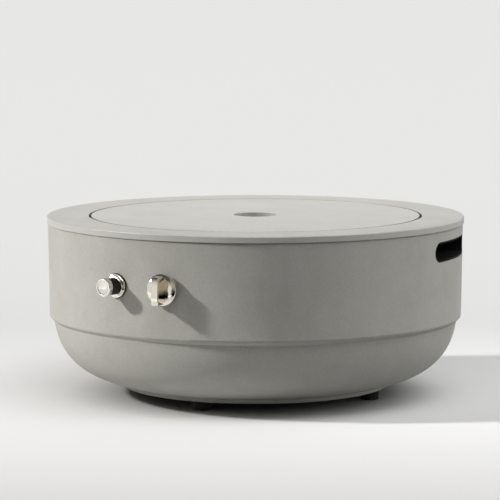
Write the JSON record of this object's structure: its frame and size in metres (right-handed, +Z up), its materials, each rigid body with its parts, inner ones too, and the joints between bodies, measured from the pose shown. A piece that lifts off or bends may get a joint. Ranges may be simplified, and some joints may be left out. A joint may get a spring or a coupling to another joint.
{
  "type": "propane fire pit",
  "caption": "Low round propane fire pit: cement bowl on feet, burner pan under a flush lift-off lid, push-and-turn gas knob, push-button igniter and side hand slots.",
  "frame": {"origin": "on the floor under the bowl's axis, the middle of the footprint", "axes": "+Z up along the bowl's axis, -Y to the front with the controls, +X to the right hand slot"},
  "size_m": [0.711, 0.7695, 0.304],
  "materials": {
    "cement": "fine cast fibre cement, matt sealed",
    "cement_ring": "smooth cast fibre cement, matt sealed",
    "cement_lid": "smooth cast fibre cement, matt sealed",
    "foam": "closed-cell foam",
    "stainless": "brushed",
    "zinc": "zinc plated",
    "brass": "machined",
    "tube_metal": "drawn tube",
    "copper_lead": "copper",
    "lead_jacket": "silicone jacket",
    "ceramic": "glazed white",
    "chrome_knob": "polished chrome plate",
    "chrome_button": "polished chrome plate",
    "chrome_bezel": "polished chrome plate",
    "black_plastic": "moulded",
    "liner_black": "moulded, matt",
    "battery_sleeve": "plain printed sleeve, no marks",
    "rubber": "moulded",
    "foot_rubber": "moulded"
  },
  "bodies": {
    "base": {"bowl": "cement", "top_ring": "cement_ring", "rim_gasket": "foam", "burner_pan": "stainless", "burner": "stainless", "burner_nut": "stainless", "air_mixer": "stainless", "electrode_wire": "stainless", "thermocouple": "stainless", "electrode_clip": "stainless", "thermocouple_clip": "stainless", "ring_clips": "zinc", "ring_clip_screws": "zinc", "foot_screws": "zinc", "valve_washer": "zinc", "valve_face_washer": "zinc", "button_spring": "zinc", "igniter_terminals": "zinc", "valve_body": "brass", "valve_bonnet": "brass", "valve_nut": "brass", "safety_magnet": "brass", "sensor_nut": "brass", "gas_jet": "brass", "inlet_fitting": "brass", "inlet_nut": "brass", "tube_nuts": "brass", "supply_tube": "tube_metal", "feed_tube": "tube_metal", "sensor_lead": "copper_lead", "spark_lead": "lead_jacket", "electrode_ceramic": "ceramic", "igniter_bezel": "chrome_bezel", "igniter_housing": "black_plastic", "igniter_nut": "black_plastic", "spark_module": "black_plastic", "hand_liner_left": "liner_black", "hand_liner_right": "liner_black", "battery": "battery_sleeve", "igniter_gasket": "rubber", "inlet_washer": "rubber", "foot_front": "foot_rubber", "foot_right": "foot_rubber", "foot_back": "foot_rubber", "foot_left": "foot_rubber"},
    "lid": {"lid": "cement_lid"},
    "valve_plug": {"valve_plug": "brass", "spindle_spring": "zinc"},
    "knob": {"knob": "chrome_knob", "spindle": "zinc"},
    "igniter_button": {"igniter_button": "chrome_button"}
  },
  "joints": [
    {"name": "lid_lift", "type": "slide", "parent": "base", "child": "lid", "axis": [0, 0, 1], "range_m": [0, 0.15]},
    {"name": "knob_turn", "type": "hinge", "parent": "base", "child": "valve_plug", "pos_m": [-0.04603, -0.34963, 0.216], "axis": [-0.1305, -0.9914, 0], "range_deg": [0, 180]},
    {"name": "knob_push", "type": "slide", "parent": "valve_plug", "child": "knob", "axis": [0.1305, 0.9914, 0], "range_m": [0, 0.004], "stiffness_N_per_m": 800, "springref_m": -0.006},
    {"name": "igniter_push", "type": "slide", "parent": "base", "child": "igniter_button", "axis": [0.3795, 0.9252, 0], "range_m": [0, 0.004], "stiffness_N_per_m": 900, "springref_m": -0.005}
  ]
}
